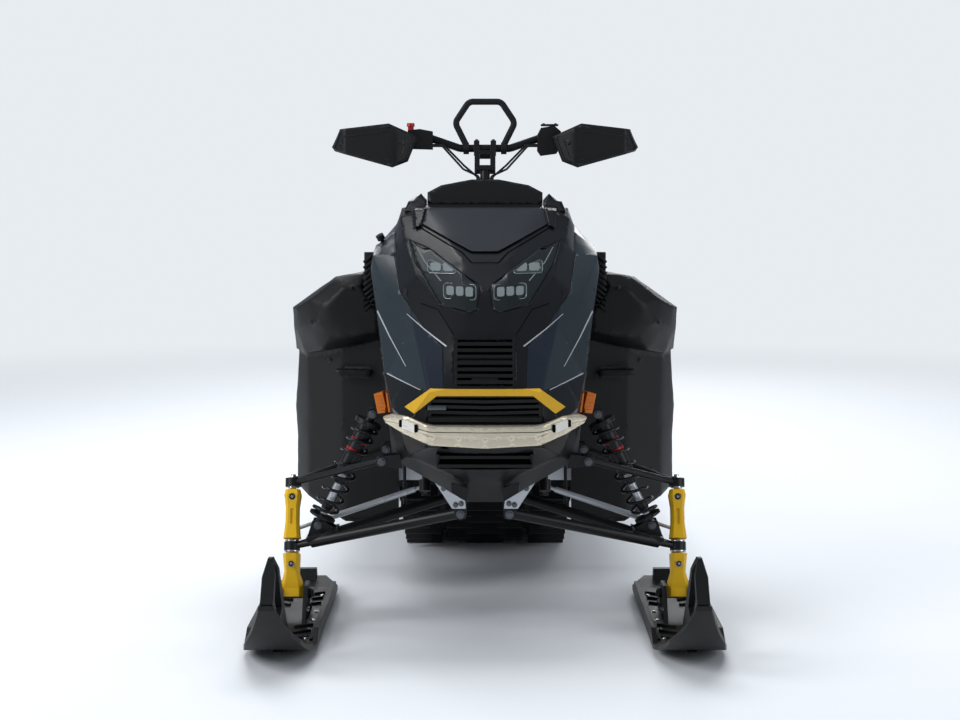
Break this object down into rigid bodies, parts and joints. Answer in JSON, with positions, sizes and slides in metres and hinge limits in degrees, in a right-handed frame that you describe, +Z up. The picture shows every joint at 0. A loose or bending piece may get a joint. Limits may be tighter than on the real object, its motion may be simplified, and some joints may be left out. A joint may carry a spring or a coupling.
{
  "type": "snowmobile",
  "caption": "Trail snowmobile with two steered skis on double suspension arms, a lugged rubber track under a tunnel, a hooded nose, a seat and a rear rack.",
  "frame": {"origin": "on the floor under the middle of the machine's length and width", "axes": "+Z up, nose towards -Y, +X to the right of someone who faces the nose"},
  "size_m": [1.19, 3.25, 1.394],
  "materials": {
    "track_rubber": "matt",
    "rubber": "matt",
    "seat_vinyl": "grained",
    "satin_grey": "satin",
    "slate_panel": "gloss",
    "yellow_trim": "satin",
    "champagne": "satin",
    "yellow_forging": "satin",
    "smoked_lens": "gloss",
    "amber": "gloss",
    "red_lens": "gloss",
    "alu": "brushed",
    "black_metal": "satin",
    "black_steel": "satin",
    "black_plastic": "matt",
    "cast": "rough"
  },
  "bodies": {
    "chassis": {"belly_pan": "black_plastic", "centre_grille": "black_plastic", "drive_axle": "black_plastic", "engine_block": "cast", "front_bumper": "champagne", "front_subframe": "black_metal", "fuel_tank": "black_plastic", "gauge_console": "black_plastic", "headlights": "smoked_lens", "idler_wheels": "black_plastic", "lower_arms": "black_metal", "lower_grille": "black_plastic", "nose_mask": "black_plastic", "nose_panel": "black_plastic", "nose_trim": "yellow_trim", "pivot_plates": "alu", "rear_bumper": "black_metal", "rear_cowl": "black_plastic", "rear_rack": "black_metal", "running_boards": "black_metal", "seat_base": "black_plastic", "seat_cushion": "seat_vinyl", "shock_springs": "black_steel", "shocks": "alu", "side_deflectors": "black_plastic", "side_panels": "slate_panel", "side_reflectors": "amber", "skid_arms": "black_metal", "skid_rails": "alu", "skid_shocks": "alu", "snow_flap": "rubber", "starter_knob": "black_plastic", "steering_bearing": "black_plastic", "sway_links": "black_steel", "tail_light": "red_lens", "track": "track_rubber", "tunnel": "black_metal", "upper_arms": "black_metal", "windshield": "satin_grey"},
    "steering_bar": {"bar_cable_boot": "rubber", "bar_cables": "rubber", "bar_levers": "alu", "controls": "black_plastic", "grips": "rubber", "hand_guards": "black_plastic", "handlebar": "black_metal", "mountain_strap": "rubber", "steering_post": "black_metal"},
    "spindle_left": {"ski_handle_l": "black_plastic", "ski_l": "black_plastic", "spindle_l": "yellow_forging"},
    "spindle_right": {"ski_handle_r": "black_plastic", "ski_r": "black_plastic", "spindle_r": "yellow_forging"},
    "tie_left": {"tie_rod_l": "alu"},
    "tie_right": {"tie_rod_r": "alu"},
    "swivel_left": {"swivel_arm_l": "black_metal"},
    "swivel_right": {"swivel_arm_r": "black_metal"}
  },
  "joints": [
    {"name": "steering", "type": "hinge", "parent": "chassis", "child": "steering_bar", "pos_m": [0, -0.425, 1.252], "axis": [0, 0.4226, 0.9063], "range_deg": [-32, 32]},
    {"name": "kingpin_left", "type": "hinge", "parent": "chassis", "child": "spindle_left", "pos_m": [-0.505, -1.025, 0.21], "axis": [0, 0.309, 0.9511], "range_deg": [-28, 28]},
    {"name": "swivel_pivot_left", "type": "hinge", "parent": "chassis", "child": "swivel_left", "pos_m": [-0.157, -1.0081, 0.37918], "axis": [0, 0.309, 0.9511], "range_deg": [-28, 28]},
    {"name": "tie_joint_left", "type": "hinge", "parent": "spindle_left", "child": "tie_left", "pos_m": [-0.505, -0.93678, 0.23882], "axis": [0, 0.309, 0.9511], "range_deg": [-28, 28]},
    {"name": "kingpin_right", "type": "hinge", "parent": "chassis", "child": "spindle_right", "pos_m": [0.505, -1.025, 0.21], "axis": [0, 0.309, 0.9511], "range_deg": [-28, 28]},
    {"name": "swivel_pivot_right", "type": "hinge", "parent": "chassis", "child": "swivel_right", "pos_m": [0.157, -1.0081, 0.37918], "axis": [0, 0.309, 0.9511], "range_deg": [-28, 28]},
    {"name": "tie_joint_right", "type": "hinge", "parent": "spindle_right", "child": "tie_right", "pos_m": [0.505, -0.93678, 0.23882], "axis": [0, 0.309, 0.9511], "range_deg": [-28, 28]}
  ],
  "couplings": [
    {"joint": "kingpin_left", "follows": "steering", "ratio": 0.875},
    {"joint": "swivel_pivot_left", "follows": "steering", "ratio": 0.875},
    {"joint": "tie_joint_left", "follows": "steering", "ratio": -0.875},
    {"joint": "kingpin_right", "follows": "steering", "ratio": 0.875},
    {"joint": "swivel_pivot_right", "follows": "steering", "ratio": 0.875},
    {"joint": "tie_joint_right", "follows": "steering", "ratio": -0.875}
  ]
}
